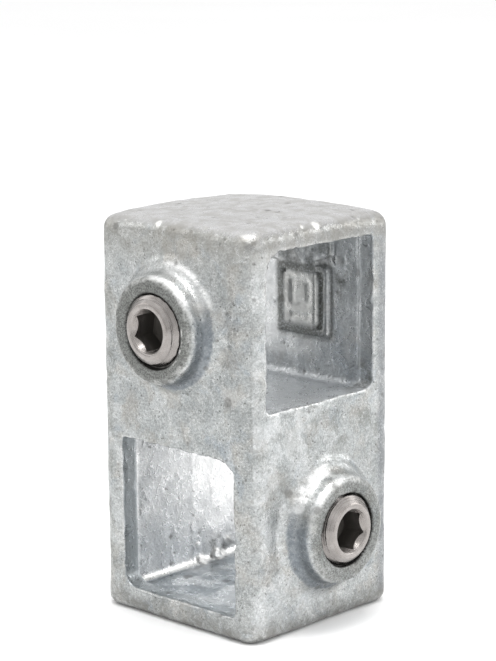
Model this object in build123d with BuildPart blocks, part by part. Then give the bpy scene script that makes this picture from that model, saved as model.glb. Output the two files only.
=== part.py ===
from build123d import *
import math
import os

os.makedirs("parts", exist_ok=True)

# Crossover fitting for square tube: one galvanised casting with two square
# sockets that pass each other at right angles, one above the other, and a
# hexagon-socket set screw in a boss on the side of each socket.
#
# +Z up, origin at the centre of the underside. The upper socket runs along X
# and its screw is on the -Y side. The lower socket runs along Y and its screw
# is on the +X side. All dimensions in millimetres.

# ---------------------------------------------------------------- dimensions
# tube and sockets
tube_side = 25.0                # square tube that each socket takes
tube_play = 1.0                 # side play of the tube in a socket
socket_side = tube_side + tube_play
socket_corner_r = 0.8           # the two crisp corners of a socket
screw_corner_r = 3.3            # rounder corner at the screw side of the ceiling
upper_far_corner_r = 1.5        # floor corner away from the screw, upper socket
lower_far_corner_r = 2.6        # floor corner away from the screw, lower socket
mouth_edge_r = 0.4              # rounded edge round each mouth
lip_depth = 3.6                 # length of the full-fit lip at each mouth
relief = 0.8                    # the cored space behind the lips is wider by this
relief_corner_r = 1.4
socket_shift = 0.6              # each socket sits this far towards its own boss

# casting
body_x = 35.6                   # plan size along the upper socket
body_y = 34.9                   # plan size along the lower socket
floor_wall = 4.3                # under the lower socket
roof_wall = 4.0                 # over the upper socket
web = 8.1                       # between the two sockets
body_height = floor_wall + socket_side + web + socket_side + roof_wall
corner_r = 3.2                  # upright corners
back_corner_r = 6.5             # the upright corner away from both bosses
top_edge_r = 2.1
bottom_edge_r = 1.8
crown = 0.7                     # the top face is slightly domed
half_x = body_x / 2
half_y = body_y / 2
dome_half = (half_x + half_y) / 2

lower_z = floor_wall + socket_side / 2
upper_z = body_height - roof_wall - socket_side / 2

# bosses
boss_height = 5.0
upper_boss = (0.3, 51.05)       # X and Z of the upper boss
lower_boss = (0.3, 17.1)        # Y and Z of the lower boss
boss_face_r = 9.0               # before its rim is rounded
boss_rim_r = 1.1
boss_waist_r = 9.4              # foot of the tapered wall
waist_fillet_r = 0.6
collar_r = 10.45                # rounded collar round the foot of the boss
collar_height = 1.55
collar_rim_r = 0.7
root_r = 1.6                    # hollow fillet down to the side face

# M12 set screws
pitch = 1.75
screw_r = 5.97
bore_r = 6.05                   # the threads are left plain: see the record
bore_mouth_r = 6.35
screw_length = 10.0
upper_proud = 1.0               # outer end stands out of the boss face
lower_proud = 0.9
end_chamfer_r = 4.93
key_af = 6.08                   # across flats, for a 6 mm hexagon key
key_depth = 4.8
key_lead_r = 3.83
point_length = 1.7              # tapered cup point
point_r = 4.27
cup_r = 3.95
cup_depth = 1.25
split_gap = 0.03
upper_key_turn = 21.0           # a corner of each hexagon stands at this angle
lower_key_turn = 43.3

# raised size plaque on the inner wall of the upper socket
plaque_x = 1.5
plaque_z = 51.4
plaque_w = 11.4
plaque_h = 12.1
plaque_rim = 1.1
plaque_rise = 0.65
pad_x = 0.55
pad_w = 7.1
pad_h = 8.7
# thicker patch of metal between the plaque and the ceiling, with a slanted end
patch_left = -7.6
patch_right = 8.0
patch_low = 57.8
patch_slant_x = 2.5
patch_slant_z = 59.7
patch_rise = 0.7

# ------------------------------------------------------------------- casting
upper_axis = Plane(
    origin=(upper_boss[0], -half_y, upper_boss[1]), x_dir=(1, 0, 0), z_dir=(0, -1, 0)
)
lower_axis = Plane(
    origin=(half_x, lower_boss[0], lower_boss[1]), x_dir=(0, 1, 0), z_dir=(1, 0, 0)
)
upper_y = -socket_shift
lower_x = socket_shift

with BuildPart() as casting:
    # block
    with BuildSketch(Plane.XY):
        Rectangle(body_x, body_y)
        fillet([v for v in vertices() if v.X < 0 and v.Y > 0], back_corner_r)
        fillet(
            [v for v in vertices() if abs(abs(v.X) - half_x) < 0.01
             and abs(abs(v.Y) - half_y) < 0.01],
            corner_r,
        )
    extrude(amount=body_height + 5)
    # domed top
    dome_r = (dome_half ** 2) / (2 * crown)
    with BuildSketch(Plane.XZ):
        with BuildLine():
            Line((0, -1), (0, body_height + crown * 0.6))
            ThreePointArc(
                (0, body_height + crown * 0.6),
                (dome_half * 0.8, body_height + crown * 0.6 - (dome_half * 0.8) ** 2 / (2 * dome_r)),
                (dome_half * 1.6, body_height + crown * 0.6 - (dome_half * 1.6) ** 2 / (2 * dome_r)),
            )
            Line(
                (dome_half * 1.6, body_height + crown * 0.6 - (dome_half * 1.6) ** 2 / (2 * dome_r)),
                (dome_half * 1.6, -1),
            )
            Line((dome_half * 1.6, -1), (0, -1))
        make_face()
    revolve(axis=Axis.Z, mode=Mode.INTERSECT)
    fillet(faces().sort_by(Axis.Z)[-1].edges(), top_edge_r)
    fillet(faces().sort_by(Axis.Z)[0].edges(), bottom_edge_r)

    # bosses, turned profiles with a rounded collar and a hollow root
    for axis_plane in (upper_axis, lower_axis):
        section = Plane(
            origin=axis_plane.origin, x_dir=axis_plane.x_dir, z_dir=-axis_plane.y_dir
        )
        with BuildSketch(section):
            with BuildLine():
                FilletPolyline(
                    (0, boss_height),
                    (boss_face_r, boss_height),
                    (boss_waist_r, collar_height),
                    (collar_r, collar_height),
                    (collar_r + 0.35, 0),
                    (collar_r + root_r + 0.6, 0),
                    radius=[boss_rim_r, waist_fillet_r, collar_rim_r, root_r],
                )
                Polyline(
                    (collar_r + root_r + 0.6, 0),
                    (collar_r + root_r + 0.6, -2.5),
                    (0, -2.5),
                    (0, boss_height),
                )
            make_face()
        revolve(axis=Axis(axis_plane.origin, axis_plane.z_dir))

    # upper socket, along X
    with BuildSketch(Plane.YZ.offset(-half_x - 1)):
        with Locations((upper_y, upper_z)):
            Rectangle(socket_side, socket_side)
        fillet(
            [v for v in vertices() if v.X < upper_y and v.Y > upper_z],
            screw_corner_r,
        )
        fillet(
            [v for v in vertices() if v.X > upper_y and v.Y < upper_z],
            upper_far_corner_r,
        )
        fillet(
            [v for v in vertices() if abs(abs(v.X - upper_y) - socket_side / 2) < 0.01
             and abs(abs(v.Y - upper_z) - socket_side / 2) < 0.01],
            socket_corner_r,
        )
    extrude(amount=body_x + 2, mode=Mode.SUBTRACT)
    # lower socket, along Y
    with BuildSketch(Plane.XZ.offset(-half_y - 1)):
        with Locations((lower_x, lower_z)):
            Rectangle(socket_side, socket_side)
        fillet(
            [v for v in vertices() if v.X > lower_x and v.Y > lower_z],
            screw_corner_r,
        )
        fillet(
            [v for v in vertices() if v.X < lower_x and v.Y < lower_z],
            lower_far_corner_r,
        )
        fillet(
            [v for v in vertices() if abs(abs(v.X - lower_x) - socket_side / 2) < 0.01
             and abs(abs(v.Y - lower_z) - socket_side / 2) < 0.01],
            socket_corner_r,
        )
    extrude(amount=body_y + 2, mode=Mode.SUBTRACT)

    # rounded edges round the four mouths
    mouth_edges = [
        e for e in edges()
        if (
            abs(abs(e.center().X) - half_x) < 0.01
            and abs(e.center().Z - upper_z) < socket_side / 2 + 0.1
            and e.bounding_box().size.X < 0.01
            and abs(e.center().Y - upper_y) < socket_side / 2 + 0.1
        )
        or (
            abs(abs(e.center().Y) - half_y) < 0.01
            and abs(e.center().Z - lower_z) < socket_side / 2 + 0.1
            and e.bounding_box().size.Y < 0.01
            and abs(e.center().X - lower_x) < socket_side / 2 + 0.1
        )
    ]
    fillet(mouth_edges, mouth_edge_r)

    # cored relief behind the lips
    with BuildSketch(Plane.YZ.offset(-half_x + lip_depth)):
        with Locations((upper_y, upper_z)):
            RectangleRounded(
                socket_side + 2 * relief, socket_side + 2 * relief, relief_corner_r
            )
    extrude(amount=body_x - 2 * lip_depth, mode=Mode.SUBTRACT)
    with BuildSketch(Plane.XZ.offset(-half_y + lip_depth)):
        with Locations((lower_x, lower_z)):
            RectangleRounded(
                socket_side + 2 * relief, socket_side + 2 * relief, relief_corner_r
            )
    extrude(amount=body_y - 2 * lip_depth, mode=Mode.SUBTRACT)

    # size plaque: a raised rim, a groove and a raised pad with a plain sign
    plaque_wall = upper_y + socket_side / 2 + relief
    with BuildSketch(Plane.XZ.offset(-plaque_wall - 0.4)):
        with Locations((plaque_x, plaque_z)):
            RectangleRounded(plaque_w, plaque_h, 0.8)
            RectangleRounded(
                plaque_w - 2 * plaque_rim, plaque_h - 2 * plaque_rim, 0.5,
                mode=Mode.SUBTRACT,
            )
        with Locations((plaque_x - pad_x, plaque_z)):
            RectangleRounded(pad_w, pad_h, 0.5)
    extrude(amount=plaque_rise + 0.4)
    with BuildSketch(Plane.XZ.offset(-plaque_wall - 0.4)):
        with BuildLine():
            Polyline(
                (patch_left, upper_z + socket_side / 2 + relief + 0.3),
                (patch_right, upper_z + socket_side / 2 + relief + 0.3),
                (patch_right, patch_slant_z),
                (patch_slant_x, patch_low),
                (patch_left, patch_low),
                (patch_left, upper_z + socket_side / 2 + relief + 0.3),
            )
        make_face()
    extrude(amount=patch_rise + 0.4)
    # sign: the section of a square tube over a bar, cut shallow into the pad
    with BuildSketch(Plane.XZ.offset(-plaque_wall + plaque_rise + 0.1)):
        with Locations((plaque_x - pad_x, plaque_z + 1.2)):
            RectangleRounded(4.6, 4.6, 0.9)
            RectangleRounded(3.0, 3.0, 0.4, mode=Mode.SUBTRACT)
        with Locations((plaque_x - pad_x, plaque_z - 2.9)):
            RectangleRounded(4.6, 0.9, 0.4)
    extrude(amount=-0.4, mode=Mode.SUBTRACT)

    # screw bores with countersunk mouths
    for axis_plane in (upper_axis, lower_axis):
        section = Plane(
            origin=axis_plane.origin, x_dir=axis_plane.x_dir, z_dir=-axis_plane.y_dir
        )
        mouth_drop = bore_mouth_r - bore_r
        with BuildSketch(section):
            with BuildLine():
                Polyline(
                    (0, boss_height + 1),
                    (bore_mouth_r + 1, boss_height + 1),
                    (bore_r, boss_height - mouth_drop),
                    (bore_r, -8),
                    (0, -8),
                    (0, boss_height + 1),
                )
            make_face()
        revolve(axis=Axis(axis_plane.origin, axis_plane.z_dir), mode=Mode.SUBTRACT)

casting.part.label = "casting"
export_step(casting.part, "parts/casting.step")

# ---------------------------------------------------------------- set screws
# Each screw is one piece of steel. It turns and advances together, so its
# turning shank and its tapered cup point, which is round and looks the same
# at every turn, are kept as two solids with a hair gap between them.
screws = (
    ("upper_set_screw", upper_axis, boss_height + upper_proud, upper_key_turn),
    ("lower_set_screw", lower_axis, boss_height + lower_proud, lower_key_turn),
)
for screw_name, axis_plane, outer, key_turn in screws:
    head = Plane(
        origin=axis_plane.origin + axis_plane.z_dir * outer,
        x_dir=axis_plane.x_dir,
        z_dir=axis_plane.z_dir,
    )
    section = Plane(origin=head.origin, x_dir=head.x_dir, z_dir=-head.y_dir)
    turn_axis = Axis(head.origin, head.z_dir)
    shank_end = -(screw_length - point_length)
    chamfer_drop = screw_r - end_chamfer_r

    with BuildPart() as shank:
        with BuildSketch(section):
            with BuildLine():
                Polyline(
                    (0, shank_end + split_gap),
                    (screw_r, shank_end + split_gap),
                    (screw_r, -chamfer_drop),
                    (end_chamfer_r, 0),
                    (0, 0),
                    (0, shank_end + split_gap),
                )
            make_face()
        revolve(axis=turn_axis)
        # hexagon socket with a lead-in and a drill cone at the bottom
        with BuildSketch(head):
            RegularPolygon(key_af / 2, 6, major_radius=False, rotation=key_turn)
        extrude(amount=-key_depth, mode=Mode.SUBTRACT)
        with BuildSketch(section):
            with BuildLine():
                Polyline(
                    (0, 0.5),
                    (key_lead_r + 0.5, 0.5),
                    (key_lead_r, 0),
                    (key_lead_r - 0.9, -0.9),
                    (0, -0.9),
                    (0, 0.5),
                )
            make_face()
        revolve(axis=turn_axis, mode=Mode.SUBTRACT)
        with BuildSketch(section):
            with BuildLine():
                Polyline(
                    (0, -key_depth + 0.2),
                    (key_af / 2 - 0.05, -key_depth + 0.2),
                    (key_af / 2 - 0.05, -key_depth),
                    (0, -key_depth - 1.3),
                    (0, -key_depth + 0.2),
                )
            make_face()
        revolve(axis=turn_axis, mode=Mode.SUBTRACT)
    shank.part.label = screw_name
    export_step(shank.part, f"parts/{screw_name}.step")

    with BuildPart() as point:
        with BuildSketch(section):
            with BuildLine():
                Polyline(
                    (0, shank_end),
                    (screw_r, shank_end),
                    (point_r, -screw_length),
                    (cup_r, -screw_length),
                    (0, -screw_length + cup_depth),
                    (0, shank_end),
                )
            make_face()
        revolve(axis=turn_axis)
    point.part.label = screw_name + "_point"
    export_step(point.part, f"parts/{screw_name}_point.step")

print("casting", body_x, body_y, body_height, "sockets at", lower_z, upper_z)
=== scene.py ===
import bpy
import math
import numpy as np
from mathutils import Matrix, Vector


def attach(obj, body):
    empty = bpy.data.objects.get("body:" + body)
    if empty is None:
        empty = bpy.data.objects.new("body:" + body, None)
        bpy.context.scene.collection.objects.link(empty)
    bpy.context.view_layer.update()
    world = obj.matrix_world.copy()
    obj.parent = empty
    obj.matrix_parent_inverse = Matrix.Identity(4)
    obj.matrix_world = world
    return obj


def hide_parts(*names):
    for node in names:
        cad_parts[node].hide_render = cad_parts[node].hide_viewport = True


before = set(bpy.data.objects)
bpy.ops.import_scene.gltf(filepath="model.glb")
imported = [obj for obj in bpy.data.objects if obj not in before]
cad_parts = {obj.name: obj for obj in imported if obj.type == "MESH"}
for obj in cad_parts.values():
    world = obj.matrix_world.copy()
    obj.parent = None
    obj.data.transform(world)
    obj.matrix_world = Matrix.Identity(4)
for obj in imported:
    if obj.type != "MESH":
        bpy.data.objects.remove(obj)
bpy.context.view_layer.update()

MM = 0.001

# ------------------------------------------------------------------ camera
# Positions are in millimetres in the row frame and become metres when used.
cam_pos = np.array([254.862, -266.644, 124.221])
cam_right = np.array([0.72474012, 0.68898065, -0.00757778])
cam_up = np.array([-0.13475154, 0.15251377, 0.97907179])
cam_back = np.cross(cam_right, cam_up)
cam_data = bpy.data.cameras.new("camera")
cam_data.lens = 2232.88 * 36.0 / 661.0
cam_data.sensor_width = 36.0
cam_data.clip_start = 0.01
cam_data.clip_end = 20.0
camera = bpy.data.objects.new("camera", cam_data)
bpy.context.scene.collection.objects.link(camera)
camera.matrix_world = Matrix((
    (cam_right[0], cam_up[0], cam_back[0], cam_pos[0] * MM),
    (cam_right[1], cam_up[1], cam_back[1], cam_pos[1] * MM),
    (cam_right[2], cam_up[2], cam_back[2], cam_pos[2] * MM),
    (0, 0, 0, 1),
))
bpy.context.scene.camera = camera

# ----------------------------------------------------- sizes of the fitting
BX, BY, BH = 17.8, 17.45, 68.4          # half plan sizes, height of the edges
DOME_R = ((BX + BY) / 2) ** 2 / 1.4
U_Y, U_Z = -0.6, 51.4                   # upper socket, along X
L_X, L_Z = 0.6, 17.3                    # lower socket, along Y
LIP = 3.6
BOSS_U = (0.3, 51.05)                   # x, z on the -Y face
BOSS_L = (0.3, 17.1)                    # y, z on the +X face
PITCH = 1.75


# ------------------------------------------------------------------- noise
def _hash(ix, iy, iz, seed):
    h = (ix * 374761393 + iy * 668265263 + iz * 2147483647 + seed * 1274126177) & 0xFFFFFFFF
    h = ((h ^ (h >> 13)) * 1274126177) & 0xFFFFFFFF
    h = (h ^ (h >> 16)) & 0xFFFFFFFF
    return h.astype(np.float64) / 4294967295.0


def vnoise(p, size, seed=0):
    """Smooth value noise from -1 to 1, with cells of the given size in mm."""
    q = p / size
    i = np.floor(q).astype(np.int64)
    f = q - i
    f = f * f * f * (f * (f * 6 - 15) + 10)
    out = 0
    for dx in (0, 1):
        for dy in (0, 1):
            for dz in (0, 1):
                w = (
                    (f[:, 0] if dx else 1 - f[:, 0])
                    * (f[:, 1] if dy else 1 - f[:, 1])
                    * (f[:, 2] if dz else 1 - f[:, 2])
                )
                out = out + w * _hash(i[:, 0] + dx, i[:, 1] + dy, i[:, 2] + dz, seed)
    return out * 2 - 1


def fbm(p, size, octaves=3, seed=0):
    out, a = 0, 1.0
    for k in range(octaves):
        out = out + a * vnoise(p + 17.3 * k, size / 2 ** k, seed + k)
        a *= 0.5
    return out


def smooth(a, b, x):
    t = np.clip((x - a) / (b - a), 0, 1)
    return t * t * (3 - 2 * t)


# ---------------------------------------------------- shape of the casting
def rinter(a, b, r):
    """Both, with the outer edge rounded to r."""
    a, b = a + r, b + r
    return np.minimum(np.maximum(a, b), 0) + np.hypot(np.maximum(a, 0), np.maximum(b, 0)) - r


def runion(a, b, r):
    """Either, with the inner corner filled to r."""
    return np.maximum(r, np.minimum(a, b)) - np.hypot(np.maximum(r - a, 0), np.maximum(r - b, 0))


def rbox2(x, y, hx, hy, r):
    qx, qy = np.abs(x) - hx + r, np.abs(y) - hy + r
    return np.minimum(np.maximum(qx, qy), 0) + np.hypot(np.maximum(qx, 0), np.maximum(qy, 0)) - r


def boss(p, r):
    cone = rinter(r - (9.0 + 0.4 * (5.0 - p) / 3.45), p - 5.0, 1.2)
    collar = rinter(r - (10.4 + 0.35 * (1.55 - p) / 1.55), p - 1.55, 1.0)
    return np.maximum(runion(cone, collar, 0.9), -p - 6.0)


def pad(a, b, rise, ha, hb, top, r=0.28):
    """A low block on a wall, rise being the height over the wall."""
    return rinter(rbox2(a, b, ha, hb, 0.6), rise - top, r)


def segment(P, a, b):
    a, b = np.array(a), np.array(b)
    t = np.clip((P - a) @ (b - a) / ((b - a) @ (b - a)), 0, 1)
    return np.linalg.norm(P - a - t[:, None] * (b - a), axis=1)


def casting_sdf(P):
    x, y, z = P[:, 0], P[:, 1], P[:, 2]
    # block
    r_plan = np.where((x < 0) & (y > 0), 6.5, 3.2)
    plan = rbox2(x, y, BX, BY, r_plan)
    top = z - (BH + 0.42 - (x * x + y * y) / (2 * DOME_R))
    d = rinter(plan, top, 2.1)
    d = rinter(d, -z, 1.8)
    # bosses
    ru = np.hypot(x - BOSS_U[0], z - BOSS_U[1])
    rl = np.hypot(y - BOSS_L[0], z - BOSS_L[1])
    d = runion(d, boss(-y - BY, ru), 1.7)
    d = runion(d, boss(x - BX, rl), 1.7)
    # sockets: rounder over the screw and at the far side of the floor
    cu = np.where(z > U_Z, np.where(y < U_Y, 3.3, 0.8), np.where(y > U_Y, 1.5, 0.8))
    cl = np.where(z > L_Z, np.where(x > L_X, 3.3, 0.8), np.where(x < L_X, 2.6, 0.8))
    up = rbox2(y - U_Y, z - U_Z, 13.0, 13.0, cu)
    low = rbox2(x - L_X, z - L_Z, 13.0, 13.0, cl)
    d = rinter(d, -up, 0.42)
    d = rinter(d, -low, 0.42)
    # cored relief behind the lips
    rel_u = rinter(rbox2(y - U_Y, z - U_Z, 13.8, 13.8, 1.4), np.abs(x) - (BX - LIP), 0.7)
    rel_l = rinter(rbox2(x - L_X, z - L_Z, 13.8, 13.8, 1.4), np.abs(y) - (BY - LIP), 0.7)
    d = rinter(d, -rel_u, 0.4)
    d = rinter(d, -rel_l, 0.4)
    # plaque on the far wall of the upper socket
    rise = (U_Y + 13.8) - y
    deep = np.maximum(rise - 3, -rise - 1.5)
    px, pz = x - 1.5, z - 51.4
    rim = np.maximum(
        pad(px, pz, rise, 5.7, 6.05, 0.62), -rbox2(px, pz, 4.6, 4.95, 0.5)
    )
    mid = pad(px + 0.55, pz, rise, 3.55, 4.35, 0.62)
    sx, sz = px + 0.55, pz - 1.2
    ring = np.maximum(rbox2(sx, sz, 2.3, 2.3, 0.9), -rbox2(sx, sz, 1.5, 1.5, 0.4))
    bar = rbox2(px + 0.55, pz + 2.9, 2.3, 0.45, 0.4)
    sign = np.maximum(np.minimum(ring, bar), 0.36 - rise)
    mid = rinter(mid, -sign, 0.16)
    d = np.minimum(d, np.maximum(rim, deep))
    d = np.minimum(d, np.maximum(mid, deep))
    # a thicker patch between the plaque and the ceiling, and a bead of zinc below its end
    low_line = np.maximum(57.8, 57.8 + 0.345 * (x - 2.5)) - z
    patch = rinter(np.maximum(np.maximum(x - 8.0, -7.6 - x), low_line), rise - 0.7, 0.3)
    patch = np.maximum(patch, z - 66.0)
    d = np.minimum(d, np.maximum(patch, deep))
    d = runion(d, segment(P, (4.9, 12.95, 58.0), (9.3, 12.95, 59.1)) - 0.62, 0.35)
    d = rinter(d, 0.5 - np.linalg.norm(P - np.array((10.5, 13.2, 58.8)), axis=1), 0.1)
    # the core's parting line round both tube ways, and lumps in the lower floor corner
    seam = 0.06 * np.exp(-(x / 0.28) ** 2) * (up < 1.6) * (up > -0.6)
    seam = seam + 0.10 * np.exp(-(y / 0.28) ** 2) * (low < 1.6) * (low > -0.6)
    d = d - seam
    for c, r in (((-13.0, 1.2, 6.7), 0.5), ((-12.6, 1.7, 4.1), 0.75), ((-12.9, 5.6, 4.2), 0.9), ((-13.1, 8.6, 5.9), 0.7)):
        d = runion(d, np.linalg.norm(P - np.array(c), axis=1) - r, 0.5)
    # screw bores with a straight mouth, left a little off centre by the tap
    for pp, rr, mr in (
        (-y - BY, ru, np.hypot(x - BOSS_U[0] - 0.48, z - BOSS_U[1] + 0.14)),
        (x - BX, rl, np.hypot(y - BOSS_L[0] + 0.16, z - BOSS_L[1] - 0.06)),
    ):
        bore = np.where(pp > -5, rr - 6.05, 5.0)
        mouth = np.maximum(mr - 6.22, 3.75 - pp)
        d = rinter(d, -bore, 0.1)
        d = rinter(d, -mouth, 0.12)
    return d


def gradient(P, h=0.05):
    g = np.empty_like(P)
    for k in range(3):
        e = np.zeros(3)
        e[k] = h
        g[:, k] = (casting_sdf(P + e) - casting_sdf(P - e)) / (2 * h)
    return g


def read_mesh(me):
    co = np.empty(len(me.vertices) * 3)
    me.vertices.foreach_get("co", co)
    return co.reshape(-1, 3)


def write_mesh(me, co):
    me.vertices.foreach_set("co", np.ascontiguousarray(co, dtype=np.float32).ravel())
    me.update()


def point_attribute(me, name, values):
    at = me.attributes.new(name, "FLOAT", "POINT")
    at.data.foreach_set("value", np.ascontiguousarray(values, dtype=np.float32))


def remeshed(node, voxel, name):
    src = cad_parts[node]
    tmp = bpy.data.objects.new("tmp_remesh", src.data.copy())
    bpy.context.scene.collection.objects.link(tmp)
    mod = tmp.modifiers.new("remesh", "REMESH")
    mod.mode = "VOXEL"
    mod.voxel_size = voxel * MM
    mod.adaptivity = 0.0
    deps = bpy.context.evaluated_depsgraph_get()
    me = bpy.data.meshes.new_from_object(tmp.evaluated_get(deps))
    me.name = name
    old = tmp.data
    bpy.data.objects.remove(tmp)
    bpy.data.meshes.remove(old)
    me.materials.clear()
    return me


def scatter(points_on, count, radius, seed):
    """Distance field of small round spots near the surface: 1 at a spot's centre, 0 outside it."""
    rng = np.random.default_rng(seed)
    pick = points_on[rng.integers(0, len(points_on), count)]
    size = radius * (0.55 + 0.9 * rng.random(count) ** 2)
    out = np.zeros(len(points_on))
    order = np.argsort(points_on[:, 2], kind="stable")
    zs = points_on[order, 2]
    for c, s in zip(pick, size):
        a, b = np.searchsorted(zs, (c[2] - s, c[2] + s))
        idx = order[a:b]
        q = np.linalg.norm(points_on[idx] - c, axis=1) / s
        out[idx] = np.maximum(out[idx], np.clip(1 - q * q, 0, 1))
    return out


def curvature(P, h):
    c = casting_sdf(P)
    total = -6 * c
    for k in range(3):
        e = np.zeros(3)
        e[k] = h
        total = total + casting_sdf(P + e) + casting_sdf(P - e)
    return total / (h * h)


def make_casting():
    me = remeshed("casting", 0.44, "casting_body")
    co = read_mesh(me) / MM
    for step in range(5):
        f = casting_sdf(co)
        g = gradient(co)
        n2 = np.maximum((g * g).sum(1), 0.25)
        move = np.clip(f / n2, -0.4, 0.4)
        co = co - g * move[:, None]
    g = gradient(co, 0.12)
    normal = g / np.maximum(np.linalg.norm(g, axis=1), 1e-6)[:, None]
    x, y, z = co.T
    # where things are
    ru = np.hypot(x - BOSS_U[0], z - BOSS_U[1])
    rl = np.hypot(y - BOSS_L[0], z - BOSS_L[1])
    pu, pl = -y - BY, x - BX
    face = np.maximum(
        smooth(4.45, 4.75, pu) * (ru < 9.2), smooth(4.45, 4.75, pl) * (rl < 9.2)
    )
    bore = np.maximum((pu > -4) * (ru < 6.5), (pl > -4) * (rl < 6.5)) * 1.0
    boss_near = np.maximum(smooth(0.15, 0.7, pu), smooth(0.15, 0.7, pl))
    in_u = ((np.abs(y - U_Y) < 14.3) & (np.abs(z - U_Z) < 14.3) & (np.abs(x) < BX - 0.2)) * 1.0
    in_u = in_u * (rbox2(y - U_Y, z - U_Z, 14.2, 14.2, 2.0) < 0)
    in_l = ((np.abs(x - L_X) < 14.3) & (np.abs(z - L_Z) < 14.3) & (np.abs(y) < BY - 0.2)) * 1.0
    in_l = in_l * (rbox2(x - L_X, z - L_Z, 14.2, 14.2, 2.0) < 0)
    # mask for the painted light on the top face
    top = smooth(66.0, 68.0, z) * smooth(0.35, 0.9, normal[:, 2])
    bottom = smooth(1.6, 0.5, z)
    edge = np.clip(curvature(co, 0.55), -3, 3)
    # cast and galvanised surface
    inner = np.maximum(in_u, in_l)
    rough = 1 - 0.8 * np.maximum(face, bore)
    flat_bottom = 1 - smooth(0.6, 0.05, z) * (normal[:, 2] < -0.9)
    wave = 0.075 * fbm(co, 9.0, 2, 3) + 0.04 * fbm(co, 2.8, 2, 11)
    wave = wave + 0.07 * np.clip(edge, 0, 1.5) * fbm(co, 1.9, 2, 31) * (1 - np.maximum(face, bore))
    # chipped zinc along the socket mouths
    up = np.abs(rbox2(y - U_Y, z - U_Z, 13.0, 13.0, 1.5))
    low = np.abs(rbox2(x - L_X, z - L_Z, 13.0, 13.0, 1.5))
    mouth = smooth(1.1, 0.2, up) * (np.abs(x) > BX - 0.9) + smooth(1.1, 0.2, low) * (np.abs(y) > BY - 0.9)
    chips = mouth * smooth(0.15, 0.6, vnoise(co, 1.3, 71))
    pits = scatter(co, 420, 0.45, 5)
    pits2 = scatter(co, 70, 0.85, 6)
    drips = scatter(co, 60, 1.5, 8)
    lumps = scatter(co, 240, 0.55, 9)
    d = wave * rough - 0.13 * pits * rough - 0.10 * pits2 * rough
    d = d + (0.06 * drips + 0.07 * lumps) * rough - 0.22 * chips
    d = d * (1 - 0.9 * bore) * flat_bottom
    d = d - np.where(inner > 0.5, 0.5 * np.clip(d, 0, 1), 0)
    # keep inside the envelope of the sound casting
    limit = 0.10 + 0 * d
    d = np.minimum(d, limit)
    # painted highlights: bright glint spots on the top edges; and dark nicks in the top face
    glint = np.zeros(len(co))
    for c, r in (((17.0, -16.9, 67.0), 1.0), ((17.3, -1.4, 67.8), 1.1), ((17.3, -4.6, 67.9), 0.7),
                 ((-3.2, -17.0, 67.7), 0.9), ((17.5, 9.0, 67.6), 0.6), ((-11.0, -17.1, 67.6), 0.6)):
        q = np.linalg.norm(co - np.array(c), axis=1) / r
        glint = np.maximum(glint, np.clip(1 - q * q, 0, 1))
    nick = np.zeros(len(co))
    for c, r in (((-11.9, -3.8, 68.6), 0.55), ((5.8, -0.5, 68.8), 0.5), ((7.8, -0.2, 68.7), 0.4), ((2.2, 8.3, 68.7), 0.5)):
        q = np.linalg.norm((co - np.array(c)) * np.array((1.0, 0.6, 1.0)), axis=1) / r
        nick = np.maximum(nick, np.clip(1 - q * q, 0, 1))
    d = d - 0.18 * nick
    co2 = co + normal * d[:, None]
    write_mesh(me, co2 * MM)
    # grime and painted shade: darker in the groove of the plaque, under the patch, in the corner behind the lip and
    # in the lower floor corner
    rise = (U_Y + 13.8) - y
    wall = smooth(14.5, 12.0, np.abs(x)) * (rise < 1.2) * in_u
    px, pz = x - 1.5, z - 51.4
    frame_zone = smooth(0.5, 0.0, rbox2(px, pz, 5.6, 6.0, 0.4))
    pad_zone = smooth(0.35, -0.1, rbox2(px + 0.55, pz, 3.5, 4.3, 0.4))
    grime_and_painted_shade = wall * frame_zone * (1 - pad_zone) * (0.80 + 0.2 * smooth(0.5, 0.2, rise)) * (1 - 0.75 * smooth(4.7, 5.1, px))
    grime_and_painted_shade = np.maximum(grime_and_painted_shade, wall * 0.8 * smooth(0.9, 0.0, rbox2(px, pz, 6.0, 6.4, 0.8)) * (1 - frame_zone) * (rise < 0.4))
    grime_and_painted_shade = np.maximum(grime_and_painted_shade, wall * 0.62 * (z > np.maximum(57.8, 57.8 + 0.345 * (x - 2.5)) - 0.2) * smooth(8.3, 7.9, x) * smooth(-0.8, 0.4, fbm(co, 1.6, 2, 91)))
    spot = np.hypot((x - 9.7) / 1.3, (z - 55.5) / 3.2)
    grime_and_painted_shade = np.maximum(grime_and_painted_shade, wall * 0.8 * smooth(1.5, 0.5, spot) * smooth(-0.5, 0.5, fbm(co, 1.2, 2, 92)))
    corner = in_u * smooth(12.5, 14.5, x) * smooth(45.5, 40.5, z) * smooth(4.0, 10.0, y)
    grime_and_painted_shade = np.maximum(grime_and_painted_shade, 0.75 * corner * smooth(-0.7, 0.4, fbm(co, 1.4, 2, 93)))
    lowc = in_l * smooth(-11.5, -13.0, x) * smooth(9.5, 6.0, z) * smooth(1.5, 4.5, y)
    grime_and_painted_shade = np.maximum(grime_and_painted_shade, 0.6 * lowc * smooth(-0.4, 0.5, fbm(co, 1.3, 2, 94)))
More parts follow.
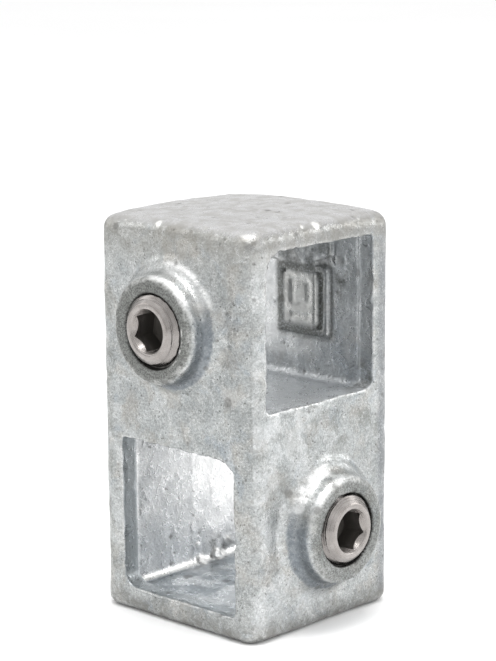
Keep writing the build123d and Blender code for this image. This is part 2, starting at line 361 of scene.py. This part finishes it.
    # foot of the boss wall: painted shade on its downward side, and painted highlights on top of the boss
    up_side = normal[:, 2]
    waist = np.maximum(
        smooth(0.7, 1.4, pu) * smooth(4.4, 3.6, pu) * (ru < 10.4) * (ru > 8.4),
        smooth(0.5, 1.2, pl) * smooth(4.5, 3.8, pl) * (rl < 10.7) * (rl > 8.4),
    )
    painted_shade_boss_foot = waist * smooth(0.5, 0.05, up_side) * smooth(-1.5, -0.6, fbm(co, 2.4, 2, 51))
    outer_u = smooth(0.3, 0.9, pu) * smooth(8.2, 8.7, ru) * smooth(11.4, 10.6, ru)
    outer_l = smooth(0.3, 0.9, pl) * smooth(8.2, 8.7, rl) * smooth(11.3, 10.5, rl)
    deg_u = np.degrees(np.arctan2(z - BOSS_U[1], x - BOSS_U[0]))
    deg_l = np.degrees(np.arctan2(z - BOSS_L[1], y - BOSS_L[0]))
    jit = 9 * fbm(co, 1.8, 2, 53)
    ang_u = smooth(22, 46, deg_u + jit) * smooth(102, 80, deg_u + jit)
    ang_l = smooth(86, 100, deg_l + jit) * smooth(156, 138, deg_l + jit)
    # painted highlight: near-white crescents where the overhead lamp catches the boss tops
    painted_highlight_boss_top = np.maximum(outer_u * ang_u * (1 - 0.6 * waist), outer_l * ang_l)
    painted_highlight_boss_top = painted_highlight_boss_top * smooth(-1.1, -0.2, fbm(co, 1.5, 2, 52))
    point_attribute(me, "painted_shade_boss_foot", painted_shade_boss_foot)
    point_attribute(me, "painted_highlight_boss_top", painted_highlight_boss_top)
    point_attribute(me, "high", smooth(58.0, 67.0, z) * (1 - inner))
    # painted light on the upper socket's wall and floor, and a painted highlight on the bead
    light = smooth(-3.6, -5.2, x) * smooth(39, 44, z) * smooth(60, 57, z)
    light = np.maximum(light, smooth(46.2, 44.8, z) * smooth(40.0, 43.0, z) * smooth(6.0, 0.0, x))
    light = wall * light * (1 - frame_zone) * smooth(-1.2, 0.1, fbm(co, 2.4, 2, 95))
    bead = in_u * smooth(1.5, 0.6, segment(co, (4.9, 12.9, 58.0), (9.0, 12.9, 59.0)))
    point_attribute(me, "light", np.maximum(light, 0.9 * bead))
    point_attribute(me, "painted_light_upper_floor", in_u * smooth(0.5, 0.9, up_side) * (z < 42))
    near_bore = np.maximum((pu > 3.2) * (ru < 6.95), (pl > 3.2) * (rl < 6.95)) * 1.0
    edge = edge * (1 - near_bore) * (1 - 0.65 * inner) * (1 - 0.55 * np.clip(mouth, 0, 1))
    # painted shade: the bore mouth's gap round each screw made near black
    painted_shade_bore_gap = np.maximum(
        smooth(6.45, 6.33, np.hypot(x - BOSS_U[0] - 0.48, z - BOSS_U[1] + 0.14)) * smooth(5.03, 4.9, pu) * smooth(-2.9, -2.4, pu),
        smooth(6.42, 6.30, np.hypot(y - BOSS_L[0] + 0.16, z - BOSS_L[1] - 0.06)) * smooth(5.03, 4.9, pl) * smooth(-2.9, -2.4, pl),
    )
    point_attribute(me, "painted_shade_bore_gap", painted_shade_bore_gap)
    # painted light in the lower socket: the wall lit through the far mouth and lighter towards the far upper end, the
    # floor and near lip lightened, and a painted highlight along the floor fillet
    side = in_l * smooth(0.3, 0.8, normal[:, 0]) * (x < 0)
    point_attribute(me, "painted_light_lower_wall", side * smooth(-14.3, -13.7, y) * 1.0)
    point_attribute(me, "lowsun", side * smooth(-13, 13, y) * smooth(4, 22, z + 1.5 * fbm(co, 5.0, 2, 98)))
    # painted shade along the right face's far edge and top band; painted light on its front half
    point_attribute(me, "painted_shade_right_edges", (x > BX - 1.5) * np.maximum(smooth(12.9, 14.4, y), 0.8 * smooth(64.2, 65.5, z)) * (1 - inner))
    point_attribute(me, "painted_light_right_face", (x > BX - 0.8) * smooth(4.0, -6.0, y) * (1 - inner) * (1 - boss_near))
    # darker patches near the left edge and above the lower boss, and a darker front corner
    dark_patches = (y < 1.5 - BY) * smooth(-13.4, -15.2, x) * smooth(-0.35, 0.35, fbm(co * np.array((1.0, 1.0, 0.6)), 2.6, 3, 101))
    dark_patches = np.maximum(dark_patches, (x > BX - 1.5) * smooth(24.0, 34.0, z) * smooth(40.0, 36.0, z) * smooth(0.1, 0.7, fbm(co, 2.6, 3, 102)))
    dark_patches = np.maximum(dark_patches, 0.24 * smooth(13.4, 15.6, x) * smooth(-13.4, -15.6, y))
    point_attribute(me, "dark_patches", dark_patches * (1 - inner))
    point_attribute(me, "painted_light_lower_lip", in_l * smooth(-13.6, -14.2, y))
    point_attribute(me, "painted_light_lower_floor", in_l * smooth(0.5, 0.9, normal[:, 2]) * (z < 8) * smooth(-14.3, -13.7, y))
    painted_highlight_lower_fillet = in_l * (x < -10) * (z < 7.5) * smooth(0.25, 0.5, normal[:, 0]) * smooth(0.25, 0.5, normal[:, 2])
    point_attribute(me, "painted_highlight_lower_fillet", painted_highlight_lower_fillet * smooth(-14.2, -13.2, y))
    patchy = smooth(-0.5, 0.7, fbm(co, 3.2, 3, 97))
    point_attribute(me, "patchy", patchy)
    # painted shade: the sides darker towards the bottom
    point_attribute(me, "low", smooth(5.0, 0.8, z) * (1 - inner))
    point_attribute(me, "edge", edge)
    point_attribute(me, "bossface", face * np.where(pl > 3, 0.74, 1.0))
    point_attribute(me, "boss", boss_near)
    point_attribute(me, "in_u", in_u)
    point_attribute(me, "in_l", in_l)
    point_attribute(me, "painted_light_topface", top)
    point_attribute(me, "pit", np.maximum(pits, pits2))
    point_attribute(me, "glint", glint)
    point_attribute(me, "nick", nick)
    point_attribute(me, "grime_and_painted_shade", grime_and_painted_shade)
    point_attribute(me, "padzone", wall * pad_zone * (rise > 0.2))
    point_attribute(me, "bore", bore * (1 - face))
    me.polygons.foreach_set("use_smooth", np.ones(len(me.polygons), bool))
    ob = bpy.data.objects.new("casting_body", me)
    bpy.context.scene.collection.objects.link(ob)
    return ob


# ------------------------------------------------- turned and threaded parts
AX_U = dict(
    o=np.array([BOSS_U[0], -BY - 6.0, BOSS_U[1]]), u=np.array([1.0, 0, 0]),
    v=np.array([0, 0, 1.0]), w=np.array([0, -1.0, 0]), turn=math.radians(21.0), proud=1.0,
    wall=9.0, start=0.0,
)
AX_L = dict(
    o=np.array([BX + 5.9, BOSS_L[0], BOSS_L[1]]), u=np.array([0, 1.0, 0]),
    v=np.array([0, 0, 1.0]), w=np.array([1.0, 0, 0]), turn=math.radians(43.3), proud=0.9,
    wall=9.25, start=math.radians(-55.0),
)


def thread_r(theta, s, crest, root, grow=0.0):
    t = np.mod(s / PITCH - theta / (2 * math.pi), 1.0)
    dist = np.minimum(t, 1 - t) * PITCH - grow
    r = crest - np.maximum(dist - PITCH / 16, 0) * math.tan(math.radians(60))
    # round the crest and the root a little
    k = 0.06
    r = -k * np.log(np.exp(-np.minimum(r, crest + 1) / k) + np.exp(-crest / k))
    return k * np.log(np.exp(r / k) + np.exp(root / k))


def grid_mesh(name, rows, closed_rows=False, material=None, frame_of=None):
    """rows: list of (r array, s array) rings over the shared theta; joined one to the next."""
    ax, theta = frame_of
    n = len(theta)
    verts, faces = [], []
    for r, s in rows:
        r = np.broadcast_to(r, (n,))
        s = np.broadcast_to(s, (n,))
        verts.append(
            ax["o"] + (r * np.cos(theta))[:, None] * ax["u"]
            + (r * np.sin(theta))[:, None] * ax["v"] + s[:, None] * ax["w"]
        )
    verts = np.concatenate(verts)
    m = len(rows)
    i = np.arange(n)
    j = (i + 1) % n
    quads = []
    for k in range(m - 1 + int(closed_rows)):
        a, b = k * n, ((k + 1) % m) * n
        quads.append(np.stack([a + i, a + j, b + j, b + i], 1))
    quads = np.concatenate(quads).tolist()
    vl = verts.tolist()
    if not closed_rows:
        for row, flip in ((0, True), (m - 1, False)):
            c = len(vl)
            ring = verts[row * n:(row + 1) * n]
            vl.append(ring.mean(0).tolist())
            for a, b in zip(i, j):
                tri = [row * n + int(a), row * n + int(b), c]
                quads.append(tri[::-1] if flip else tri)
    me = bpy.data.meshes.new(name)
    me.from_pydata([[c * MM for c in p] for p in vl], [], quads)
    me.validate()
    co = read_mesh(me) / MM - ax["o"]
    s = co @ ax["w"]
    rad = np.linalg.norm(co - s[:, None] * ax["w"], axis=1)
    point_attribute(me, "rad", rad)
    point_attribute(me, "depth", s)
    ob = bpy.data.objects.new(name, me)
    bpy.context.scene.collection.objects.link(ob)
    import bmesh
    bm = bmesh.new()
    bm.from_mesh(me)
    bmesh.ops.recalc_face_normals(bm, faces=bm.faces)
    bm.to_mesh(me)
    bm.free()
    me.polygons.foreach_set("use_smooth", np.ones(len(me.polygons), bool))
    return ob


def sharpen(ob, angle):
    me = ob.data
    import bmesh
    bm = bmesh.new()
    bm.from_mesh(me)
    for e in bm.edges:
        e.smooth = not (len(e.link_faces) == 2 and e.calc_face_angle(0) > angle)
    bm.to_mesh(me)
    bm.free()


def make_shank(name, ax):
    n = 192
    theta = ax["turn"] + np.arange(n) * 2 * math.pi / n
    rel = np.mod(theta - ax["turn"], math.pi / 3) - math.pi / 6
    hexr = np.minimum(3.04 / np.cos(rel), 3.49)
    rows = []
    # drill cone, floor of the key recess, walls, lead-in
    rows.append((0.25, -5.95))
    rows.append((1.5, -5.4))
    rows.append((2.75, -4.86))
    rows.append((2.85, -4.82))
    rows.append((hexr - 0.12, -4.80))
    rows.append((hexr, -4.68))
    for q in np.linspace(-4.2, -1.2, 6):
        rows.append((hexr, q))
    lead = -(3.83 - hexr) * 1.35
    rows.append((hexr, lead - 0.06))
    rows.append((hexr + 0.05, lead + 0.0))
    for t in (0.35, 0.7):
        rows.append((hexr + (3.83 - hexr) * t, lead * (1 - t)))
    rows.append((3.80, -0.035))
    rows.append((3.88, 0.0))
    rows.append((4.1, 0.0))
    rows.append((4.35, 0.0))
    rows.append((4.5, -0.015))
    rows.append((4.6, -0.05))
    # chamfer, then the thread to the start of the point
    s_values = list(-np.arange(0.10, 1.04, 0.07)) + list(-np.arange(1.04, 8.05, 0.085)) + [-8.13, -8.2, -8.24]
    for s in s_values:
        thr = thread_r(theta - ax["start"], np.full(n, s), 5.95, 4.95)
        thr = 5.95 - (5.95 - thr) * np.clip((-s - 0.40) / 0.3, 0, 1)
        cham = 4.55 + (-s) * 1.15
        rows.append((np.minimum(np.maximum(thr, 4.95), cham), s))
    last = np.minimum(thread_r(theta - ax["start"], np.full(n, -8.27), 5.95, 4.95), 5.9)
    rows.append((last - 0.03, -8.27))
    rows.append((3.0, -8.27))
    rows.append((0.4, -8.27))
    ob = grid_mesh(name, rows, frame_of=(ax, theta))
    sharpen(ob, math.radians(38))
    return ob


def make_point(name, ax):
    n = 160
    theta = np.arange(n) * 2 * math.pi / n
    rows = [
        (0.3, -8.3), (3.0, -8.3), (5.80, -8.3), (5.93, -8.36),
        (5.5, -8.78), (5.0, -9.28), (4.6, -9.68), (4.33, -9.95), (4.27, -9.995),
        (4.18, -10.0), (4.03, -10.0), (3.95, -9.985),
        (3.4, -9.82), (2.6, -9.57), (1.8, -9.32), (1.0, -9.07), (0.3, -8.86),
    ]
    ob = grid_mesh(name, rows, frame_of=(ax, theta))
    sharpen(ob, math.radians(38))
    return ob


def make_bore_thread(name, ax):
    n = 160
    theta = np.arange(n) * 2 * math.pi / n
    start = -ax["proud"] - 1.0
    end = -ax["wall"]
    rows = [(6.3, start), (6.3, end)]
    s_values = np.arange(end, start, 0.1)
    for s in s_values:
        k_in = np.clip((start - s) / 0.9, 0, 1)
        k_out = np.clip((s - end) / 0.5, 0, 1)
        r = thread_r(theta - ax["start"], np.full(n, s), 6.04, 5.3, grow=0.08)
        free = 6.04
        rows.append((free + (np.minimum(r, free) - free) * min(k_in, k_out), s))
    rows.append((6.04, start))
    rows = rows[::-1]
    ob = grid_mesh(name, rows, closed_rows=True, frame_of=(ax, theta))
    sharpen(ob, math.radians(50))
    return ob


# --------------------------------------------------------------- materials
class Nodes:
    def __init__(self, name):
        self.mat = bpy.data.materials.new(name)
        self.mat.use_nodes = True
        self.t = self.mat.node_tree
        self.t.nodes.clear()
        self.out = self.t.nodes.new("ShaderNodeOutputMaterial")
        self.bsdf = self.t.nodes.new("ShaderNodeBsdfPrincipled")
        self.t.links.new(self.bsdf.outputs[0], self.out.inputs[0])
        tc = self.t.nodes.new("ShaderNodeTexCoord")
        self.co = tc.outputs["Object"]

    def link(self, a, b):
        self.t.links.new(a, b)

    def noise(self, scale, detail=4.0, rough=0.55, distort=0.0, co=None, lac=2.0):
        n = self.t.nodes.new("ShaderNodeTexNoise")
        n.inputs["Scale"].default_value = scale
        n.inputs["Detail"].default_value = detail
        n.inputs["Roughness"].default_value = rough
        n.inputs["Lacunarity"].default_value = lac
        n.inputs["Distortion"].default_value = distort
        self.link(co or self.co, n.inputs["Vector"])
        return n.outputs["Fac"]

    def voronoi(self, scale, feature="F1", rand=1.0, co=None, out="Distance"):
        n = self.t.nodes.new("ShaderNodeTexVoronoi")
        n.feature = feature
        n.inputs["Scale"].default_value = scale
        n.inputs["Randomness"].default_value = rand
        self.link(co or self.co, n.inputs["Vector"])
        return n.outputs[out]

    def attr(self, name):
        n = self.t.nodes.new("ShaderNodeAttribute")
        n.attribute_name = name
        return n.outputs["Fac"]

    def ramp(self, fac, a, b, lo=0.0, hi=1.0, smooth_=True):
        n = self.t.nodes.new("ShaderNodeMapRange")
        n.interpolation_type = "SMOOTHSTEP" if smooth_ else "LINEAR"
        n.inputs["From Min"].default_value = a
        n.inputs["From Max"].default_value = b
        n.inputs["To Min"].default_value = lo
        n.inputs["To Max"].default_value = hi
        self.link(fac, n.inputs["Value"])
        return n.outputs["Result"]

    def math(self, op, a, b=None, clamp=False):
        n = self.t.nodes.new("ShaderNodeMath")
        n.operation = op
        n.use_clamp = clamp
        for k, v in enumerate((a, b)):
            if v is None:
                continue
            if isinstance(v, (int, float)):
                n.inputs[k].default_value = v
            else:
                self.link(v, n.inputs[k])
        return n.outputs[0]

    def mix(self, fac, a, b, blend="MIX"):
        n = self.t.nodes.new("ShaderNodeMix")
        n.data_type = "RGBA"
        n.blend_type = blend
        n.clamp_factor = True
        if isinstance(fac, (int, float)):
            n.inputs["Factor"].default_value = fac
        else:
            self.link(fac, n.inputs["Factor"])
        for key, v in (("A", a), ("B", b)):
            s = [i for i in n.inputs if i.name == key and i.type == "RGBA"][0]
            if isinstance(v, tuple):
                s.default_value = (*v, 1.0)
            else:
                self.link(v, s)
        return [o for o in n.outputs if o.type == "RGBA"][0]

    def bump(self, height, strength, distance, normal=None):
        n = self.t.nodes.new("ShaderNodeBump")
        n.inputs["Strength"].default_value = strength
        n.inputs["Distance"].default_value = distance
        self.link(height, n.inputs["Height"])
        if normal is not None:
            self.link(normal, n.inputs["Normal"])
        return n.outputs["Normal"]


def galvanised():
    m = Nodes("galvanised_casting")
    edge, face = m.attr("edge"), m.attr("bossface")
    in_u, in_l, painted_light_top, pit = m.attr("in_u"), m.attr("in_l"), m.attr("painted_light_topface"), m.attr("pit")
    glint, nick, grime_and_painted_shade, padz = m.attr("glint"), m.attr("nick"), m.attr("grime_and_painted_shade"), m.attr("padzone")
    big = m.noise(95, 3, 0.6, 0.6)
    mid = m.noise(380, 4, 0.65, 0.4)
    fine = m.noise(1500, 3, 0.65)
    grain = m.noise(4200, 2, 0.7)
    col = m.mix(m.ramp(big, 0.34, 0.66), (0.335, 0.357, 0.36), (0.465, 0.484, 0.486))
    col = m.mix(m.ramp(mid, 0.42, 0.68, 0.0, 0.5), col, (0.54, 0.55, 0.54))
    blue = m.ramp(m.noise(150, 3, 0.5, 1.2), 0.54, 0.70, 0, 0.6)
    col = m.mix(blue, col, (0.30, 0.345, 0.385))
    # fine mottling, grain and dark specks
    col = m.mix(m.ramp(fine, 0.36, 0.55, 0.42, 0.0), col, (0.19, 0.192, 0.185))
    col = m.mix(m.ramp(grain, 0.36, 0.56, 0.36, 0.0), col, (0.16, 0.162, 0.158))
    col = m.mix(m.ramp(grain, 0.54, 0.70, 0.0, 0.30), col, (0.80, 0.81, 0.805))
    speck = m.ramp(m.voronoi(1150), 0.09, 0.22, 1.0, 0.0)
    sparse = m.ramp(m.noise(300, 2, 0.5), 0.45, 0.56)
    col = m.mix(m.math("MULTIPLY", m.math("MULTIPLY", speck, sparse), 0.85), col, (0.07, 0.07, 0.065))
    # brownish haze
    brown = m.math("MULTIPLY", m.ramp(m.noise(210, 3, 0.6), 0.5, 0.68), 0.3)
    col = m.mix(brown, col, (0.37, 0.325, 0.27))
    patchy = m.attr("patchy")
    out = m.math("SUBTRACT", 1.0, m.math("MAXIMUM", in_u, in_l), True)
    col = m.mix(m.math("MULTIPLY", out, m.ramp(patchy, 0.45, 0.0, 0.0, 0.17)), col, (0.24, 0.25, 0.25))
    col = m.mix(m.math("MULTIPLY", out, m.ramp(patchy, 0.6, 1.0, 0.0, 0.14)), col, (0.70, 0.715, 0.725))
    # darker patches near the left edge and above the lower boss, and a darker front corner
    col = m.mix(m.math("MULTIPLY", m.attr("dark_patches"), m.ramp(fine, 0.35, 0.6, 0.75, 0.5)), col, (0.20, 0.205, 0.19))
    # painted light on the front half of the right face, painted shade on its far edge and top band
    col = m.mix(m.math("MULTIPLY", m.attr("painted_light_right_face"), m.ramp(m.noise(260, 3, 0.6, 0.5), 0.42, 0.60, 0.0, 0.34)), col, (0.72, 0.735, 0.745))
    col = m.mix(m.math("MULTIPLY", m.attr("painted_shade_right_edges"), m.ramp(mid, 0.35, 0.65, 0.92, 0.6)), col, (0.20, 0.21, 0.22))
    grain2 = m.noise(2700, 2, 0.6)
    col = m.mix(m.ramp(grain2, 0.34, 0.50, 0.30, 0.0), col, (0.19, 0.195, 0.19))
    col = m.mix(m.ramp(grain2, 0.54, 0.70, 0.0, 0.26), col, (0.80, 0.81, 0.815))
    # painted light: the top face made lighter
    col = m.mix(m.math("MULTIPLY", painted_light_top, 0.78), col, (0.80, 0.805, 0.83))
    # boss faces: duller and densely speckled
    fdark = m.ramp(m.noise(3300, 2, 0.7), 0.45, 0.57, 0.0, 0.88)
    col = m.mix(m.math("MULTIPLY", face, 0.8), col, (0.19, 0.197, 0.184))
    col = m.mix(m.math("MULTIPLY", face, fdark), col, (0.10, 0.10, 0.096))
        # boss walls: painted shade below, painted highlights on top
    painted_shade_boss_foot, painted_highlight_boss_top = m.attr("painted_shade_boss_foot"), m.attr("painted_highlight_boss_top")
    col = m.mix(m.math("MULTIPLY", painted_shade_boss_foot, m.ramp(fine, 0.35, 0.6, 0.9, 0.72)), col, (0.14, 0.16, 0.18))
    bf = m.math("MULTIPLY", painted_highlight_boss_top, m.ramp(fine, 0.30, 0.52, 0.42, 0.88))
    col = m.mix(bf, col, (0.93, 0.935, 0.93))
    col = m.mix(m.math("MULTIPLY", m.attr("high"), m.ramp(mid, 0.35, 0.65, 0.62, 0.3)), col, (0.25, 0.235, 0.205))
    # inside the sockets, with painted light and painted shade on their walls, floors, lip and fillet
    col = m.mix(m.math("MULTIPLY", in_u, 0.45), col, (0.42, 0.44, 0.465))
    soft = m.noise(210, 2, 0.5, 0.3)
    lowcol = m.mix(m.ramp(soft, 0.3, 0.7), (0.72, 0.735, 0.75), (0.88, 0.887, 0.895))
    lowcol = m.mix(m.ramp(grain, 0.36, 0.56, 0.4, 0.0), lowcol, (0.40, 0.41, 0.42))
    # painted light on the lower socket's wall, floor and near lip, and a painted highlight along its floor fillet
    col = m.mix(m.math("MULTIPLY", m.attr("painted_light_lower_wall"), 0.95), col, lowcol)
    col = m.mix(m.math("MULTIPLY", m.attr("lowsun"), 0.8), col, (0.97, 0.97, 0.965))
    col = m.mix(m.math("MULTIPLY", m.attr("painted_light_lower_floor"), 0.75), col, m.mix(m.ramp(soft, 0.38, 0.62), (0.33, 0.37, 0.41), (0.70, 0.73, 0.76)))
    col = m.mix(m.math("MULTIPLY", m.attr("painted_light_lower_lip"), 0.6), col, (0.45, 0.49, 0.52))
    col = m.mix(m.math("MULTIPLY", m.attr("painted_highlight_lower_fillet"), 0.95), col, (0.97, 0.97, 0.96))
    col = m.mix(m.math("MULTIPLY", padz, 0.7), col, (0.50, 0.50, 0.48))
    # painted light on the upper socket's wall and floor, painted highlight on the bead
    col = m.mix(m.math("MULTIPLY", m.attr("light"), 0.5), col, (0.88, 0.885, 0.88))
    col = m.mix(m.math("MULTIPLY", m.attr("painted_light_upper_floor"), 0.88), col, (0.86, 0.88, 0.90))
    # painted shade: the sides darker towards the bottom
    col = m.mix(m.math("MULTIPLY", m.attr("low"), m.ramp(mid, 0.38, 0.62, 0.86, 0.22)), col, (0.20, 0.195, 0.18))
    # worn edges, and dirt with painted shade where the surface turns in
    worn = m.math("MULTIPLY", m.ramp(edge, 0.3, 1.4), m.ramp(m.noise(700, 4, 0.75), 0.40, 0.62))
    col = m.mix(m.math("MULTIPLY", worn, m.ramp(in_l, 0.0, 1.0, 0.62, 0.25)), col, (0.80, 0.80, 0.785))
    dirt_and_crease_shade = m.math("MULTIPLY", m.ramp(edge, -0.35, -1.3), m.ramp(m.noise(240, 3, 0.6), 0.3, 0.6, 0.35, 1.0))
    col = m.mix(m.math("MULTIPLY", dirt_and_crease_shade, 0.5), col, (0.17, 0.165, 0.155))
    col = m.mix(m.ramp(pit, 0.15, 0.8, 0.0, 0.6), col, (0.14, 0.14, 0.135))
    col = m.mix(m.ramp(nick, 0.1, 0.6, 0.0, 0.8), col, (0.16, 0.155, 0.15))
    # grime with painted shade in the plaque groove, under the patch and in the socket corners
    gr = m.math("MULTIPLY", grime_and_painted_shade, m.ramp(m.noise(2400, 3, 0.7), 0.34, 0.56, 0.35, 0.92), True)
    col = m.mix(gr, col, (0.10, 0.103, 0.09))
    # painted highlights: glints on the top edges
    col = m.mix(m.math("MULTIPLY", m.ramp(glint, 0.05, 0.8, 0.0, 1.0), m.ramp(fine, 0.35, 0.5, 0.3, 0.9)), col, (0.95, 0.95, 0.92))
    # painted shade in the gap round the screws
    col = m.mix(m.attr("painted_shade_bore_gap"), col, (0.022, 0.021, 0.02))
    m.link(col, m.bsdf.inputs["Base Color"])
    rough = m.ramp(mid, 0.3, 0.7, 0.40, 0.22)
    rough = m.math("ADD", rough, m.ramp(fine, 0.35, 0.65, 0.12, -0.05))
    rough = m.math("ADD", rough, m.math("MULTIPLY", face, 0.18))
    rough = m.math("ADD", rough, m.math("MULTIPLY", grime_and_painted_shade, 0.25), True)
    m.link(rough, m.bsdf.inputs["Roughness"])
    m.bsdf.inputs["Metallic"].default_value = 0.78
    h = m.math("ADD", m.math("MULTIPLY", fine, 0.55), m.math("MULTIPLY", mid, 1.0))
    n1 = m.bump(h, 0.5, 0.00028)
    n1 = m.bump(grain, 0.45, 0.00007, n1)
    n2 = m.bump(m.math("MULTIPLY", m.math("MULTIPLY", speck, sparse), -1.0), 0.5, 0.00012, n1)
    m.link(n2, m.bsdf.inputs["Normal"])
    return m.mat


def stainless(name):
    m = Nodes(name)
    rad, depth = m.attr("rad"), m.attr("depth")
    comb = m.t.nodes.new("ShaderNodeCombineXYZ")
    m.link(rad, comb.inputs[0])
    m.link(depth, comb.inputs[1])
    rings = m.noise(5.5, 3, 0.7, 0.0, comb.outputs[0])
    rings2 = m.noise(15.0, 2, 0.6, 0.0, comb.outputs[0])
    cloud = m.noise(420, 3, 0.6, 0.5)
    grain = m.noise(3600, 2, 0.7)
    col = m.mix(m.ramp(cloud, 0.35, 0.68), (0.30, 0.283, 0.27), (0.425, 0.403, 0.39))
    col = m.mix(m.ramp(rings, 0.35, 0.62, 0.5, 0.0), col, (0.27, 0.245, 0.23))
    col = m.mix(m.ramp(rings2, 0.38, 0.6, 0.3, 0.0), col, (0.30, 0.275, 0.26))
    col = m.mix(m.ramp(grain, 0.35, 0.52, 0.3, 0.0), col, (0.25, 0.23, 0.215))
    col = m.mix(m.ramp(rad, 4.4, 5.3, 0.0, 0.38), col, (0.22, 0.207, 0.20))
    # painted shade: the key recess darkens with depth
    deep = m.ramp(depth, -3.2, -0.5, 0.94, 0.0)
    inside = m.math("MULTIPLY", deep, m.ramp(rad, 3.75, 3.5))
    col = m.mix(inside, col, (0.105, 0.098, 0.088))
    m.link(col, m.bsdf.inputs["Base Color"])
    rough = m.math("ADD", m.ramp(rings, 0.3, 0.7, 0.14, 0.30), m.ramp(cloud, 0.3, 0.7, 0.0, 0.08))
    m.link(m.math("ADD", rough, m.math("MULTIPLY", inside, 0.5), True), m.bsdf.inputs["Roughness"])
    m.bsdf.inputs["Metallic"].default_value = 0.95
    h = m.math("ADD", rings, m.math("MULTIPLY", rings2, 0.6))
    n1 = m.bump(h, 0.3, 0.00007)
    m.link(m.bump(grain, 0.15, 0.00003, n1), m.bsdf.inputs["Normal"])
    return m.mat


def bore_steel_painted_shade():
    m = Nodes("bore_thread_steel_painted_shade")
    cloud = m.noise(700, 3, 0.6, 0.4)
    # painted shade: the bore thread is near-black steel so the narrow gap behind the screw reads dark
    col = m.mix(m.ramp(cloud, 0.35, 0.65), (0.045, 0.044, 0.04), (0.12, 0.117, 0.11))
    m.link(col, m.bsdf.inputs["Base Color"])
    m.link(m.ramp(cloud, 0.3, 0.7, 0.55, 0.42), m.bsdf.inputs["Roughness"])
    m.bsdf.inputs["Metallic"].default_value = 0.8
    m.link(m.bump(m.noise(2600, 3, 0.6), 0.25, 0.00006), m.bsdf.inputs["Normal"])
    return m.mat


casting = make_casting()
casting.data.materials.append(galvanised())
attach(casting, "fitting")
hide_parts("casting")

steel = stainless("stainless_screw")
bore_mat = bore_steel_painted_shade()
for tag, ax in (("upper", AX_U), ("lower", AX_L)):
    shank = make_shank(tag + "_screw_shank", ax)
    shank.data.materials.append(steel)
    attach(shank, tag + "_screw_turn")
    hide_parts(tag + "_set_screw")
    point = make_point(tag + "_screw_cup_point", ax)
    point.data.materials.append(steel)
    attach(point, tag + "_screw_feed")
    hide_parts(tag + "_set_screw_point")
    thread = make_bore_thread(tag + "_bore_thread", ax)
    thread.data.materials.append(bore_mat)
    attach(thread, "fitting")
    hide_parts("casting")

# ---------------------------------------------------------- floor and light
floor_me = bpy.data.meshes.new("floor")
F = 12.0
floor_me.from_pydata([(-F, -F, -0.00003), (F, -F, -0.00003), (F, F, -0.00003), (-F, F, -0.00003)], [], [(0, 1, 2, 3)])
floor = bpy.data.objects.new("floor", floor_me)
bpy.context.scene.collection.objects.link(floor)
fm = Nodes("pale_floor")
fcol = fm.mix(fm.ramp(fm.noise(6, 2, 0.5), 0.3, 0.7), (0.955, 0.955, 0.955), (0.965, 0.965, 0.965))
fm.link(fcol, fm.bsdf.inputs["Base Color"])
fm.bsdf.inputs["Roughness"].default_value = 0.7
fm.bsdf.inputs["Specular IOR Level"].default_value = 0.2
floor_me.materials.append(fm.mat)

world = bpy.data.worlds.new("studio")
world.use_nodes = True
bg = world.node_tree.nodes["Background"]
bg.inputs["Color"].default_value = (1.0, 1.0, 1.0, 1.0)
wt = world.node_tree
wco = wt.nodes.new("ShaderNodeTexCoord")
wsep = wt.nodes.new("ShaderNodeSeparateXYZ")
wmap = wt.nodes.new("ShaderNodeMapRange")
wmap.inputs["From Min"].default_value = 0.0
wmap.inputs["From Max"].default_value = 1.0
wmap.inputs["To Min"].default_value = 0.80
wmap.inputs["To Max"].default_value = 1.15
wt.links.new(wco.outputs["Generated"], wsep.inputs[0])
wt.links.new(wsep.outputs["Z"], wmap.inputs["Value"])
wt.links.new(wmap.outputs["Result"], bg.inputs["Strength"])
bpy.context.scene.world = world


def area(name, pos, target, size, power, colour=(1, 1, 1), shape="RECTANGLE", size_y=None):
    d = bpy.data.lights.new(name, "AREA")
    d.shape = shape
    d.size = size
    if size_y:
        d.size_y = size_y
    d.energy = power
    d.color = colour
    o = bpy.data.objects.new(name, d)
    bpy.context.scene.collection.objects.link(o)
    o.location = Vector(pos)
    o.rotation_mode = "QUATERNION"
    o.rotation_quaternion = (Vector(target) - Vector(pos)).to_track_quat("-Z", "Y")
    return o


area("overhead", (0.05, -0.06, 0.60), (0, 0, 0.04), 0.26, 2.0, size_y=0.26)
area("back_right", (0.36, 0.60, 0.26), (0, 0, 0.03), 0.36, 1.3, size_y=0.36)
area("back_left", (-0.60, -0.34, 0.34), (0, 0, 0.05), 0.36, 0.62, size_y=0.36)
area("right_fill", (0.62, 0.02, 0.22), (0, 0, 0.03), 0.36, 0.38, size_y=0.36)

bpy.context.scene.view_settings.view_transform = "Standard"
bpy.context.scene.view_settings.look = "None"
